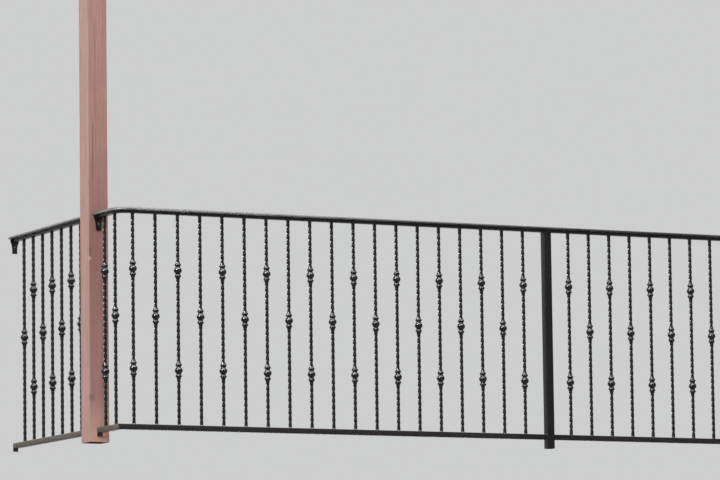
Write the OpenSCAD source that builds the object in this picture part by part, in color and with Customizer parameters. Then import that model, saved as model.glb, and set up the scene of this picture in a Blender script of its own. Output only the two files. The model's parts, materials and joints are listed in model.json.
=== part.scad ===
// Iron balcony railing on three sides. Two front bays meet at a square iron post, each front end
// bends round a corner to a timber post, and a side panel runs back from there to its end lugs.
// X runs along the front, Y from the front to the back and Z up. The origin is under the iron post.

/* [Guard] */
// Height of the cap rail's top above the posts' feet
guard_h = 1071; // [950:1:1200]
// Clear height under the bottom rail
deck_gap = 42; // [30:1:90]
// From the middle of the iron post to the corner's centreline
bay_l = 2250; // [1500:1:2600]
// From the front's centreline to the far end of the side panels
side_l = 1246; // [900:1:1600]

/* [Balusters] */
// Side of the square bar
bar_w = 12.7; // [10:0.1:16]
// Distance between baluster centres
pitch = 114; // [100:0.5:115]
// From the iron post's middle to the first baluster of the left bay
left_gap = 129; // [110:1:140]
// From the iron post's middle to the first baluster of the right bay
right_gap = 121; // [100:1:140]
// Least distance from a bay's last baluster to the corner's centreline
end_gap = 60; // [60:1:90]
// From the corner's centreline back to the first corner baluster
corner_gap = 46; // [35:1:50]
// From the first corner baluster to the second
corner_pitch = 118; // [105:1:125]
// From the timber post's back face to the first baluster of the side panel
side_gap = 108; // [90:1:114]
// Length of bar for each quarter turn of the twist
quarter_turn = 29.8; // [20:0.1:60]
// Untwisted length at each end of a bar
plain_end = 18; // [10:1:40]
// How far a bar reaches through its punched hole, measured from the rail's outer face
stub = 6; // [4:0.5:9]
// Height of the single knuckle, as a share of the clear height from the top
single_share = 0.484; // [0.4:0.001:0.6]
// Height of the upper knuckle of a double baluster, as such a share
upper_share = 0.263; // [0.2:0.001:0.35]
// Height of the lower knuckle of a double baluster, as such a share
lower_share = 0.7385; // [0.65:0.0005:0.8]

/* [Knuckles] */
// Diameter of the big bead
bead_d = 38; // [34:0.5:44]
// Height of the big bead
bead_h = 30; // [24:0.5:33]
// Diameter of the two small rings
ring_d = 31; // [27:0.5:36]
// Height of each small ring
ring_h = 12; // [9:0.5:14]
// Diameter of the neck between the bead and a ring
neck_d = 23; // [20:0.5:26]
// Height of that neck
neck_h = 5; // [3:0.5:8]
// Diameter of a sleeve's thin end, where the bar leaves the knuckle
sleeve_d = 20; // [19:0.5:23]
// How far a sleeve reaches past its ring
sleeve_h = 8; // [4:0.5:12]

/* [Rails] */
// Side of the bottom rail's square tube
tube_w = 25.4; // [20:0.1:32]
// Wall of the bottom rail's tube
tube_t = 2.1; // [1.5:0.1:3.5]
// Width of the channel under the cap rail
channel_w = 25.4; // [22:0.1:32]
// Height of the channel
channel_h = 12.7; // [11:0.1:16]
// Thickness of the channel's web and legs
channel_t = 3.2; // [2:0.1:3.5]
// Width of the cap rail
cap_w = 63.5; // [40:0.5:70]
// Height of the cap rail at its crown
cap_t = 14.5; // [12:0.1:16]
// Height of the cap rail's upright edges, below its round shoulders
cap_edge_h = 4; // [2:0.1:4.5]
// Radius of the cap rail's shoulders
shoulder_r = 8; // [5:0.1:8]
// Radius that eases the cap rail's lower edges
cap_ease_r = 1.2; // [0.5:0.1:1.8]
// Radius of the bent corner at the cap rail's centreline
bend_r = 57; // [50:1:100]
// Clearance of a bar in its punched hole, on each side
punch_gap = 0.3; // [0.2:0.05:0.6]

/* [Posts] */
// Side of the square iron post
iron_w = 38.1; // [32:0.1:50]
// Wall of the iron post
iron_t = 3; // [2:0.1:5]
// Thickness of the plate that closes the iron post's foot
foot_t = 6; // [4:0.5:12]
// Radius of the edges of the post and of the bottom rail's tube
edge_r = 2; // [1:0.1:2.5]
// Side of the timber post
timber_w = 100; // [80:1:120]
// Height of the timber post
timber_h = 2134; // [1300:1:2600]
// From the front's centreline back to the timber post's front face
timber_y = 235; // [225:1:245]
// Radius of the timber post's eased edges
timber_r = 4; // [2:0.5:8]

/* [Lugs] */
// Width of a fixing lug
lug_w = 25.4; // [20:0.1:32]
// Thickness of a fixing lug
lug_t = 5; // [4:0.5:8]
// Width of a top lug at its head, beside the channel
flare_w = 44; // [30:0.5:60]
// Height of the curved part of a top lug that widens to its head
flare_h = 37; // [20:1:48]
// How far a top lug's tab hangs below the channel
top_tab_h = 58; // [52:1:70]
// How far a bottom lug's tab hangs below the tube
bottom_tab_h = 16; // [14:1:25]
// Radius of the bolt hole in each tab of the end lugs
hole_r = 3.5; // [2.5:0.1:5]

/* [Hidden] */
HALF = ["cap_rail", "top_channel", "bottom_rail", "corner_bottom_rail", "single_balusters",
    "double_balusters", "corner_balusters", "corner_lugs", "side_cap_rail", "side_top_channel",
    "side_bottom_rail", "side_single_balusters", "side_double_balusters", "side_post_lugs",
    "wall_lugs", "timber_post"];
$fn = 64;
// Most turn in one straight step of a twisted bar, in degrees
twist_step = 75;
// Plain length of bar between the twist and a knuckle
knuckle_gap = 3;
// Where the cap rail's shoulder meets its crown, in degrees up from level
shoulder_turn = 73;
// Extra reach of a cutting solid past the face that it cuts
cut = 1;
iron_color = "#1e1e20";
timber_color = "#a9705f";

cap_z = guard_h - cap_t;
channel_z = cap_z - channel_h;
tube_z = deck_gap + tube_w;
clear_h = channel_z - tube_z;
ring_z = (bead_h + ring_h) / 2 + neck_h;
knuckle_h = 2 * ring_z + ring_h + 2 * sleeve_h;
hole_w = bar_w + 2 * punch_gap;
timber_back = timber_y + timber_w;
flare_out = (flare_w - lug_w) / 2;
flare_r = (flare_out * flare_out + flare_h * flare_h) / (2 * flare_out);

function every_other(list, first) = [for (i = [first:2:len(list) - 1]) list[i]];
// As many balusters as the pitch allows, counted out from the iron post and from the timber post
function bay_x(gap) = [for (x = [gap:pitch:bay_l - end_gap]) x];
corner_y = [corner_gap, corner_gap + corner_pitch];
side_y = [for (y = [timber_back + side_gap:pitch:side_l - end_gap]) y];

module square_bar(z0, z1) {
    translate([-bar_w / 2, -bar_w / 2, z0])
        cube([bar_w, bar_w, z1 - z0]);
}

// The same bar twisted by whole quarter turns, so that its ends meet plain bar
module twisted_bar(z0, z1) {
    turn = 90 * round((z1 - z0) / quarter_turn);
    translate([0, 0, z0])
        linear_extrude(z1 - z0, twist = turn, slices = round(turn / twist_step), segments = 4)
            square(bar_w, center = true);
}

// One round bead centred at z: a disc with a half-round rim
module bead(d, h, z) {
    translate([0, 0, z])
        rotate_extrude() {
            translate([0, -h / 2])
                square([(d - h) / 2, h]);
            translate([(d - h) / 2, 0])
                intersection() {
                    circle(d = h);
                    translate([0, -h])
                        square([h, 2 * h]);
                }
        }
}

// A big bead between two rings, with a sleeve that tapers to the bar at each end, centred at z
module knuckle(z) {
    bead(bead_d, bead_h, z);
    for (s = [-1, 1])
        bead(ring_d, ring_h, z + s * ring_z);
    translate([0, 0, z - ring_z])
        cylinder(d = neck_d, h = 2 * ring_z);
    translate([0, 0, z + ring_z])
        cylinder(d1 = neck_d, d2 = sleeve_d, h = knuckle_h / 2 - ring_z);
    translate([0, 0, z - knuckle_h / 2])
        cylinder(d1 = sleeve_d, d2 = neck_d, h = knuckle_h / 2 - ring_z);
}

// A baluster with a knuckle at each share of the clear height, counted from the top
module baluster(shares) {
    tops = [for (s = shares) channel_z - s * clear_h + knuckle_h / 2];
    upper_ends = concat([channel_z - plain_end], [for (t = tops) t - knuckle_h - knuckle_gap]);
    lower_ends = concat([for (t = tops) t + knuckle_gap], [tube_z + plain_end]);
    color(iron_color) {
        square_bar(channel_z - plain_end, channel_z + stub);
        square_bar(tube_z - stub, tube_z + plain_end);
        for (t = tops) {
            square_bar(t - knuckle_h - knuckle_gap, t + knuckle_gap);
            knuckle(t - knuckle_h / 2);
        }
        for (i = [0:len(shares)])
            twisted_bar(lower_ends[i], upper_ends[i]);
    }
}

module single_balusters(places) {
    for (p = places)
        translate(p)
            baluster([single_share]);
}

module double_balusters(places) {
    for (p = places)
        translate(p)
            baluster([upper_share, lower_share]);
}

// Places along the front, the corner and the side: s is -1 on the left and 1 on the right
function front_places(s, gap, first) = [for (x = every_other(bay_x(gap), first)) [s * x, 0, 0]];
function side_places(s, first) = [for (y = every_other(side_y, first)) [s * bay_l, y, 0]];

// The single baluster beside the corner and the double one beside the timber post
module corner_balusters(s) {
    single_balusters([[s * bay_l, corner_y[0], 0]]);
    double_balusters([[s * bay_l, corner_y[1], 0]]);
}

// Outline with eased edges
module eased_square(w, r) {
    square([w, w - 2 * r], center = true);
    square([w - 2 * r, w], center = true);
    for (x = [-1, 1], y = [-1, 1])
        translate([x * (w / 2 - r), y * (w / 2 - r)])
            circle(r);
}

module hollow_square(w, t) {
    difference() {
        eased_square(w, edge_r);
        square(w - 2 * t, center = true);
    }
}

function arc(centre, r, a0, a1, steps) = [
    for (i = [0:steps])
        let (a = a0 + (a1 - a0) * i / steps)
        centre + r * [cos(a), sin(a)]
];

// Section of the cap rail: flat below, upright edges, round shoulders and a low crown
module cap_section() {
    ease_x = cap_w / 2 - cap_ease_r;
    shoulder_x = cap_w / 2 - shoulder_r;
    right_edge = concat(
        arc([ease_x, cap_ease_r], cap_ease_r, -90, 0, 3),
        arc([shoulder_x, cap_edge_h], shoulder_r, 0, shoulder_turn, 6));
    left_edge = concat(
        arc([-shoulder_x, cap_edge_h], shoulder_r, 180 - shoulder_turn, 180, 6),
        arc([-ease_x, cap_ease_r], cap_ease_r, 180, 270, 3));
    corner = right_edge[len(right_edge) - 1];
    rise = cap_t - corner[1];
    crown_r = (corner[0] * corner[0] + rise * rise) / (2 * rise);
    half_a = asin(corner[0] / crown_r);
    crown = arc([0, cap_t - crown_r], crown_r, 90 - half_a, 90 + half_a, 8);
    polygon(concat(right_edge, [for (i = [1:len(crown) - 2]) crown[i]], left_edge));
}

// Section of the channel: web below, legs up to the cap rail
module channel_section() {
    difference() {
        translate([-channel_w / 2, 0])
            square([channel_w, channel_h]);
        translate([-channel_w / 2 + channel_t, channel_t])
            square([channel_w - 2 * channel_t, channel_h]);
    }
}

// A section run along X from x0 to x1
module run_x(x0, x1) {
    translate([x0, 0, 0])
        rotate([90, 0, 90])
            linear_extrude(x1 - x0)
                children();
}

// A section run along Y from y0 to y1 on the side's centreline
module run_y(y0, y1) {
    translate([bay_l, y1, 0])
        rotate([90, 0, 0])
            linear_extrude(y1 - y0)
                children();
}

// A section run along the front from x0, round the bend and back to y1
module bent_run(x0, y1) {
    run_x(x0, bay_l - bend_r)
        children();
    translate([bay_l - bend_r, bend_r, 0])
        rotate([0, 0, -90])
            rotate_extrude(angle = 90)
                translate([bend_r, 0])
                    children();
    run_y(bend_r, y1)
        children();
}

// Holes punched through a wall that lies between z and z + t, at each place
module punched(places, z, t) {
    for (p = places)
        translate([p[0] - hole_w / 2, p[1] - hole_w / 2, z - cut])
            cube([hole_w, hole_w, t + 2 * cut]);
}

// Where holes are punched in the front rails, the corner rails and the side rails
function bay_line(gap) = [for (x = bay_x(gap)) [x, 0]];
corner_line = [for (y = corner_y) [bay_l, y]];
side_line = [for (y = side_y) [bay_l, y]];

// One side of the corner's mitre plane: s is 1 outside the front rail's end and -1 behind it
module mitre_cut(s) {
    reach = 2 * tube_w;
    translate([bay_l, 0, deck_gap - cut])
        rotate([0, 0, 45])
            translate([s > 0 ? 0 : -reach, -reach, 0])
                cube([reach, 2 * reach, tube_w + 2 * cut]);
}

module tube_section() {
    translate([0, deck_gap + tube_w / 2])
        hollow_square(tube_w, tube_t);
}

// A lug that stands on the plane y. Its edge is the right-hand outline from the foot up, and it has
// a bolt hole where hole_z is given.
module lug(y, edge, hole_z = undef) {
    other_edge = [for (i = [len(edge) - 1:-1:0]) [-edge[i][0], edge[i][1]]];
    color(iron_color)
        difference() {
            translate([bay_l, y + lug_t, 0])
                rotate([90, 0, 0])
                    linear_extrude(lug_t)
                        polygon(concat(edge, other_edge));
            if (!is_undef(hole_z))
                translate([bay_l, y - cut, hole_z])
                    rotate([-90, 0, 0])
                        cylinder(r = hole_r, h = lug_t + 2 * cut);
        }
}

// The pair of lugs at one end of a panel, on the plane y: the top one flares out under the cap rail
module lug_pair(y, holes = false) {
    flare = arc([lug_w / 2 + flare_r, channel_z - flare_h], flare_r, 180, 180 - asin(flare_h / flare_r), 5);
    flared_edge = concat([[lug_w / 2, channel_z - top_tab_h]], flare, [[flare_w / 2, cap_z]]);
    straight_edge = [[lug_w / 2, deck_gap - bottom_tab_h], [lug_w / 2, tube_z]];
    lug(y, flared_edge, holes ? channel_z - top_tab_h / 2 : undef);
    lug(y, straight_edge, holes ? deck_gap - bottom_tab_h / 2 : undef);
}

module iron_post() {
    color(iron_color)
        translate([0, 0, foot_t])
            linear_extrude(cap_z - foot_t)
                hollow_square(iron_w, iron_t);
}

module iron_post_foot() {
    color(iron_color)
        linear_extrude(foot_t)
            eased_square(iron_w, edge_r);
}

// The rails, lugs and timber post of the right half, which the left half mirrors
module cap_rail() {
    color(iron_color)
        translate([0, 0, cap_z])
            bent_run(0, timber_y)
                cap_section();
}

module top_channel(gap) {
    color(iron_color)
        difference() {
            translate([0, 0, channel_z])
                bent_run(iron_w / 2, timber_y - lug_t)
                    channel_section();
            punched(concat(bay_line(gap), corner_line), channel_z, channel_t);
        }
}

module bottom_rail(gap) {
    color(iron_color)
        difference() {
            run_x(iron_w / 2, bay_l + tube_w / 2)
                tube_section();
            mitre_cut(1);
            punched(bay_line(gap), tube_z - tube_t, tube_t);
        }
}

module corner_bottom_rail() {
    color(iron_color)
        difference() {
            run_y(-tube_w / 2, timber_y - lug_t)
                tube_section();
            mitre_cut(-1);
            punched(corner_line, tube_z - tube_t, tube_t);
        }
}

module corner_lugs() {
    lug_pair(timber_y - lug_t);
}

module side_cap_rail() {
    color(iron_color)
        translate([0, 0, cap_z])
            run_y(timber_back, side_l)
                cap_section();
}

module side_top_channel() {
    color(iron_color)
        difference() {
            translate([0, 0, channel_z])
                run_y(timber_back + lug_t, side_l - lug_t)
                    channel_section();
            punched(side_line, channel_z, channel_t);
        }
}

module side_bottom_rail() {
    color(iron_color)
        difference() {
            run_y(timber_back + lug_t, side_l - lug_t)
                tube_section();
            punched(side_line, tube_z - tube_t, tube_t);
        }
}

module side_post_lugs() {
    lug_pair(timber_back);
}

module wall_lugs() {
    lug_pair(side_l - lug_t, true);
}

module timber_post() {
    color(timber_color)
        translate([bay_l, timber_y + timber_w / 2, 0])
            linear_extrude(timber_h)
                eased_square(timber_w, timber_r);
}

module on_left() {
    mirror([1, 0, 0])
        children();
}

iron_post();
iron_post_foot();

on_left() cap_rail();  // left_cap_rail
on_left() top_channel(left_gap);  // left_top_channel
on_left() bottom_rail(left_gap);  // left_bottom_rail
on_left() corner_bottom_rail();  // left_corner_bottom_rail
single_balusters(front_places(-1, left_gap, 1));  // left_single_balusters
double_balusters(front_places(-1, left_gap, 0));  // left_double_balusters
corner_balusters(-1);  // left_corner_balusters
on_left() corner_lugs();  // left_corner_lugs
on_left() side_cap_rail();  // left_side_cap_rail
on_left() side_top_channel();  // left_side_top_channel
on_left() side_bottom_rail();  // left_side_bottom_rail
single_balusters(side_places(-1, 0));  // left_side_single_balusters
double_balusters(side_places(-1, 1));  // left_side_double_balusters
on_left() side_post_lugs();  // left_side_post_lugs
on_left() wall_lugs();  // left_wall_lugs
on_left() timber_post();  // left_timber_post

cap_rail();  // right_cap_rail
top_channel(right_gap);  // right_top_channel
bottom_rail(right_gap);  // right_bottom_rail
corner_bottom_rail();  // right_corner_bottom_rail
single_balusters(front_places(1, right_gap, 1));  // right_single_balusters
double_balusters(front_places(1, right_gap, 0));  // right_double_balusters
corner_balusters(1);  // right_corner_balusters
corner_lugs();  // right_corner_lugs
side_cap_rail();  // right_side_cap_rail
side_top_channel();  // right_side_top_channel
side_bottom_rail();  // right_side_bottom_rail
single_balusters(side_places(1, 0));  // right_side_single_balusters
double_balusters(side_places(1, 1));  // right_side_double_balusters
side_post_lugs();  // right_side_post_lugs
wall_lugs();  // right_wall_lugs
timber_post();  // right_timber_post
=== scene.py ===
import json
from math import asin, cos, degrees, pi, radians, sin, sqrt

import bmesh
import bpy
from mathutils import Matrix, Vector, noise

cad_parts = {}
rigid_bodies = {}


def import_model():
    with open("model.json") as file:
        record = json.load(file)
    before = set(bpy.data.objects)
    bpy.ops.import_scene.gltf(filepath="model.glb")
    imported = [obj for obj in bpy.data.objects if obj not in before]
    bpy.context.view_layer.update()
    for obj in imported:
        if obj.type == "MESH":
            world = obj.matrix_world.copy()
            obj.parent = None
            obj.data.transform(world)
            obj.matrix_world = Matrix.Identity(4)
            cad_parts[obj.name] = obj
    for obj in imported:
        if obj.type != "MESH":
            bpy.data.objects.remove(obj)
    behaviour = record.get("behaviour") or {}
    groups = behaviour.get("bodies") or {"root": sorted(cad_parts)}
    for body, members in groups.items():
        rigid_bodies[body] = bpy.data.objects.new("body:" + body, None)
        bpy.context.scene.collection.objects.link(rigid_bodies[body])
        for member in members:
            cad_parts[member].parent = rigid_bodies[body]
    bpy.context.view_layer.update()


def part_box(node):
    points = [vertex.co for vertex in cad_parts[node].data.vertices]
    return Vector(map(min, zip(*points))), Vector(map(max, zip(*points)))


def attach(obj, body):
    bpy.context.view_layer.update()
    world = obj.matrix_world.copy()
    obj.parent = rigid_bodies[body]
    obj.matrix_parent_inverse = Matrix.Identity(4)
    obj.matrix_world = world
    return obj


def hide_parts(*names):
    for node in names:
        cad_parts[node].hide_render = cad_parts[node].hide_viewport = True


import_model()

# Each half of the railing lies on its own side of the iron post, along X
SIDES = {"left": -1, "right": 1}

# The plan, in metres. FIRST_BAR is measured from the iron post's middle, SIDE_GAP from the timber
# post's back, and CORNER_BARS from the front's centreline.
BAY_L = 2.25
SIDE_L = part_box("left_wall_lugs")[1].y
PITCH = 0.114
FIRST_BAR = {"left": 0.129, "right": 0.121}
FRONT_BARS, SIDE_BARS = 19, 7
SIDE_GAP = 0.108
CORNER_BARS = (0.046, 0.164)

# Rails and posts
TUBE_W = 0.0254
CHANNEL_W, CHANNEL_H, CHANNEL_T, CHANNEL_EASE_R = 0.0254, 0.0127, 0.0032, 0.0012
CAP_W, CAP_T, CAP_EDGE_H, CAP_EASE_R = 0.0635, 0.0145, 0.004, 0.0012
SHOULDER_R, SHOULDER_TURN = 0.008, 73
BEND_R = 0.057
IRON_W, EDGE_R = 0.0381, 0.002
TIMBER_W, TIMBER_R = 0.1, 0.004
CAP_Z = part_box("left_cap_rail")[0].z
CHANNEL_Z = CAP_Z - CHANNEL_H
FLOOR_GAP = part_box("left_bottom_rail")[0].z
TUBE_Z = FLOOR_GAP + TUBE_W
TIMBER_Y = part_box("left_timber_post")[0].y
TIMBER_BACK = TIMBER_Y + TIMBER_W
OUTER_X = BAY_L + TIMBER_W / 2

# A twisted bar, which bites into both rails and stays plain next to them and to its knuckles
BAR_W, BAR_EASE_R, BAR_BITE = 0.0127, 0.0011, 0.006
QUARTER_TURN, RINGS_PER_QUARTER, CUTS_PER_FLAT = 0.0298, 6, 3.0
PLAIN_END, KNUCKLE_GAP = 0.018, 0.003

# Knuckles: the share of the way down from channel to tube at which each sits, how far one may
# drift up or down, and the sizes of the bead, rings, necks and sleeves
KNUCKLE_SHARES = {"single": (0.484,), "double": (0.263, 0.7385)}
KNUCKLE_DRIFT = 0.0025
BEAD_D, BEAD_H = 0.038, 0.030
RING_D, RING_H = 0.031, 0.012
NECK_D, NECK_H = 0.023, 0.005
SLEEVE_D, SLEEVE_H, SLEEVE_EASE, SLEEVE_FLARE = 0.020, 0.008, 0.0012, 0.0007
RING_Z = (BEAD_H + RING_H) / 2 + NECK_H
KNUCKLE_H = 2 * RING_Z + RING_H + 2 * SLEEVE_H
KNUCKLE_SIDES = 24

# Arcs of a knuckle's lower ring and of its bead: start and end in degrees, and the steps
RING_ARC, BEAD_ARC = (-72, 66, 9), (-57, 57, 12)

# Lugs and welds
LUG_W, LUG_T, LUG_EASE_R = 0.0254, 0.005, 0.0009
FLARE_W, FLARE_H = 0.044, 0.037
TOP_TAB_H, BOTTOM_TAB_H = 0.058, 0.016
BAR_WELD_R, POST_WELD_R = 0.0026, 0.0028
WELD_STEP, WELD_BITE, WELD_CORNER_R, WELD_LUMPS = 0.0032, 0.0006, 0.001, 260

# A weld's lumps: the share of its stated reach that they have, and how far that share varies. Its
# section is drawn through points that lie this far out and up, as shares of the lump's reach.
WELD_EVEN, WELD_UNEVEN = 0.85, 0.3
WELD_SECTION = ((1.0, 0.0), (0.62, 0.5), (0.22, 1.0))


# Node helpers

def node(tree, kind, inputs=None, **settings):
    """Adds a node, sets its properties, and fills its sockets with values or links."""
    made = tree.nodes.new(kind)
    for name, value in settings.items():
        setattr(made, name, value)
    for key, value in (inputs or {}).items():
        if isinstance(value, bpy.types.NodeSocket):
            tree.links.new(value, made.inputs[key])
        else:
            made.inputs[key].default_value = value
    return made


def calc(tree, operation, *values):
    """A Math node's result."""
    return node(tree, "ShaderNodeMath", dict(enumerate(values)), operation=operation).outputs[0]


def product(tree, first, *others):
    """The factors multiplied together."""
    for other in others:
        first = calc(tree, "MULTIPLY", first, other)
    return first


def total(tree, first, *others):
    """The terms added up."""
    for other in others:
        first = calc(tree, "ADD", first, other)
    return first


def between(tree, value, low, high, to_low=0.0, to_high=1.0):
    """A clamped Map Range node's result."""
    sockets = {"Value": value, "From Min": low, "From Max": high, "To Min": to_low, "To Max": to_high}
    return node(tree, "ShaderNodeMapRange", sockets).outputs["Result"]


def axes_of(tree, vector):
    """A vector's X, Y and Z."""
    return node(tree, "ShaderNodeSeparateXYZ", {"Vector": vector}).outputs


def up_by(tree, height):
    """A vector of this height, straight up."""
    return node(tree, "ShaderNodeCombineXYZ", {"Z": height}).outputs[0]


def noise_at(tree, where, scale, detail, roughness):
    """A Noise Texture's result."""
    sockets = {"Vector": where, "Scale": scale, "Detail": detail, "Roughness": roughness}
    return node(tree, "ShaderNodeTexNoise", sockets).outputs["Fac"]


def wave_at(tree, where, scale, distortion, detail_scale, detail_roughness, **kind):
    """A Wave Texture's result."""
    sockets = {"Vector": where, "Scale": scale, "Distortion": distortion, "Detail": 2.0,
               "Detail Scale": detail_scale, "Detail Roughness": detail_roughness}
    return node(tree, "ShaderNodeTexWave", sockets, **kind).outputs["Fac"]


def stretched(tree, where, x, y, z, shift=(0.0, 0.0, 0.0)):
    """The place with its axes scaled and then shifted, for a pattern that is long one way."""
    sockets = {"Vector": where, "Location": shift, "Scale": (x, y, z)}
    return node(tree, "ShaderNodeMapping", sockets).outputs[0]


def mixed(tree, share, first, second):
    """A colour mix's result, where each colour is a socket or plain red, green and blue."""
    first, second = (c if isinstance(c, bpy.types.NodeSocket) else (*c, 1) for c in (first, second))
    return node(tree, "ShaderNodeMix", {0: share, 6: first, 7: second}, data_type="RGBA").outputs[2]


def layered(tree, paint, layers):
    """A colour with others laid over it, each given as its share and its colour."""
    for share, colour in layers:
        paint = mixed(tree, share, paint, colour)
    return paint


def surface(tree):
    """A point's place, that place's X, Y and Z, and the X, Y and Z of the way that it faces."""
    where = node(tree, "ShaderNodeTexCoord").outputs["Object"]
    normal = node(tree, "ShaderNodeNewGeometry").outputs["Normal"]
    return where, axes_of(tree, where), axes_of(tree, normal)


def finish_material(name):
    """A new material with its node tree and its shader."""
    made = bpy.data.materials.new(name)
    made.use_nodes = True
    tree = made.node_tree
    return made, tree, tree.nodes["Principled BSDF"]


def coat(tree, shader, paint, rough, relief, strength, distance):
    """Links a finish's colour, roughness and relief to its shader."""
    tree.links.new(paint, shader.inputs["Base Color"])
    tree.links.new(rough, shader.inputs["Roughness"])
    bump = node(tree, "ShaderNodeBump", {"Height": relief, "Strength": strength, "Distance": distance})
    tree.links.new(bump.outputs[0], shader.inputs["Normal"])


# Black paint on the iron

BLACKS = ((0.002, 0.002, 0.0025), (0.005, 0.0048, 0.005))
DUST = (0.212, 0.168, 0.138)
# Pale grey laid on the cap rail as a painted reflection of the sky
SKY_SHEEN_GREY = (0.27, 0.255, 0.255)
RUST = (0.10, 0.038, 0.018)

# Stretches over which a layer of the paint, or of its painted sky reflection, comes or goes: in height,
# in distance from the iron post along X, and in depth along Y
SPLASH_TOP = (0.066, 0.078)
TUBE_SIDE = (FLOOR_GAP + 0.003, TUBE_Z - 0.006)
CAP_UNDERSIDE = (CAP_Z - 0.0004, CAP_Z + 0.0004)
RUST_TOP = (0.0, 0.12)
CLEAR_OF_POST = (0.03, 0.3)
TOWARDS_CORNER = (0.8, 2.1)
PAST_CORNER = (0.2, 0.4)
INTO_SIDE_PANEL = (0.3, 0.42)

# Noise patterns in the paint: scale, detail and roughness of each
BROAD, FINE, BUFFED = (9.0, 3.0, 0.5), (160.0, 5.0, 0.6), (45.0, 4.0, 0.5)
BRUSHED, STREAKY = (300.0, 3.0, 0.5), (240.0, 4.0, 0.6)
SPECKS, PATCHES = (230.0, 2.0, 0.5), (17.0, 2.0, 0.5)

# How patterns are drawn out: brush marks upwards, and the streaks of the cap rail's painted sky
# reflection along the rail
BRUSH_STRETCH, STREAK_STRETCH = (1.0, 1.0, 0.25), (0.2, 0.2, 1.0)

# How rough clean paint is, and what each layer and the side panels add to that
SATIN, DUSTY, SKY_SHEEN_ROUGHNESS, RUSTY, SIDE_PANEL_DULLNESS = (0.18, 0.3), 0.4, 0.45, 0.4, 0.14
PAINT_GLOSS = 0.25


def dust_share(tree, place, facing, sideways, fine):
    """Dust: some on what faces up, and most on the lowest tubes where they face sideways."""
    splashed = product(
        tree, between(tree, place["Z"], *SPLASH_TOP, 1.0, 0.0),
        between(tree, place["Z"], *TUBE_SIDE, 0.5, 1.0),
        between(tree, calc(tree, "ABSOLUTE", facing["X"]), 0.0, 1.0, 0.1, 0.8),
        between(tree, sideways, *CLEAR_OF_POST))
    settled = calc(tree, "MULTIPLY", between(tree, facing["Z"], 0.3, 1.0), 0.3)
    return calc(tree, "MULTIPLY", calc(tree, "MAXIMUM", settled, splashed),
                between(tree, fine, 0.3, 0.7, 0.3, 1.0))


def sky_sheen_share(tree, where, place, facing, sideways, broad):
    """Painted reflection of the sky on the cap rail, in pale grey: strong at the corners, faint midway,
    on top and along the side.
    """
    streaky = noise_at(tree, stretched(tree, where, *STREAK_STRETCH), *STREAKY)
    return product(
        tree, between(tree, place["Z"], *CAP_UNDERSIDE),
        between(tree, sideways, *TOWARDS_CORNER, 0.1, 0.95),
        between(tree, facing["Z"], 0.0, 0.8, 1.0, 0.55),
        between(tree, place["Y"], *PAST_CORNER, 1.0, 0.3),
        between(tree, broad, 0.3, 0.65, 0.6, 1.0),
        between(tree, streaky, 0.35, 0.6, 0.45, 1.0))


def rust_share(tree, where, height_up):
    """Rust: specks that gather in patches, most of them low down."""
    specks = between(tree, noise_at(tree, where, *SPECKS), 0.71, 0.78)
    patches = between(tree, noise_at(tree, where, *PATCHES), 0.55, 0.7)
    return product(tree, specks, patches, between(tree, height_up, *RUST_TOP, 1.0, 0.25))


def black_paint():
    """Satin black, a little duller on the side panels, with dust, specks of rust and a painted
    reflection of the sky on the cap rail.
    """
    made, tree, shader = finish_material("black_paint")
    where, place, facing = surface(tree)
    sideways = calc(tree, "ABSOLUTE", place["X"])
    broad = noise_at(tree, where, *BROAD)
    fine = noise_at(tree, where, *FINE)
    dust = dust_share(tree, place, facing, sideways, fine)
    # The cap rail is lightened with a painted reflection of the sky, strongest towards the corners
    sky_sheen = sky_sheen_share(tree, where, place, facing, sideways, broad)
    rust = rust_share(tree, where, place["Z"])
    paint = layered(tree, mixed(tree, broad, *BLACKS), ((dust, DUST), (sky_sheen, SKY_SHEEN_GREY), (rust, RUST)))
    rough = total(
        tree, between(tree, noise_at(tree, where, *BUFFED), 0.3, 0.75, *SATIN),
        calc(tree, "MULTIPLY", dust, DUSTY), calc(tree, "MULTIPLY", sky_sheen, SKY_SHEEN_ROUGHNESS),
        calc(tree, "MULTIPLY", rust, RUSTY),
        between(tree, place["Y"], *INTO_SIDE_PANEL, 0.0, SIDE_PANEL_DULLNESS))
    brushed = noise_at(tree, stretched(tree, where, *BRUSH_STRETCH), *BRUSHED)
    relief = total(tree, calc(tree, "MULTIPLY", brushed, 0.6), calc(tree, "MULTIPLY", broad, 0.8))
    shader.inputs["Specular IOR Level"].default_value = PAINT_GLOSS
    coat(tree, shader, paint, rough, relief, 0.1, 0.001)
    return made


# Stain on the timber

STAINS = ((0.37, 0.180, 0.148), (0.44, 0.230, 0.196))
# Painted light: the faces other than the front are made paler and greyer than the front
PAINTED_SIDE_LIGHT = (0.49, 0.385, 0.35)
PALE_STREAK = (0.45, 0.285, 0.25)
GROWTH_RING = (0.235, 0.115, 0.092)
DARK_GRAIN = (0.22, 0.105, 0.085)
# Painted shade on the front, darkest at mid height, with a painted bar shadow by the inner edge
PAINTED_FRONT_SHADE = (0.262, 0.125, 0.102)
# The front turns paler towards its foot
PALER_FOOT = (0.62, 0.35, 0.29)
RUBBED = (0.47, 0.30, 0.27)
# A brown patch at the foot of the front, by the inner edge
FOOT_PATCH = (0.30, 0.21, 0.125)
END_GRAIN = ((0.30, 0.23, 0.175), (0.17, 0.12, 0.09))
HAIR_CHECK = (0.07, 0.035, 0.03)
# Painted shade inside the splits, darker the deeper they are
PAINTED_SPLIT_SHADE = (0.045, 0.022, 0.018)

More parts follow.
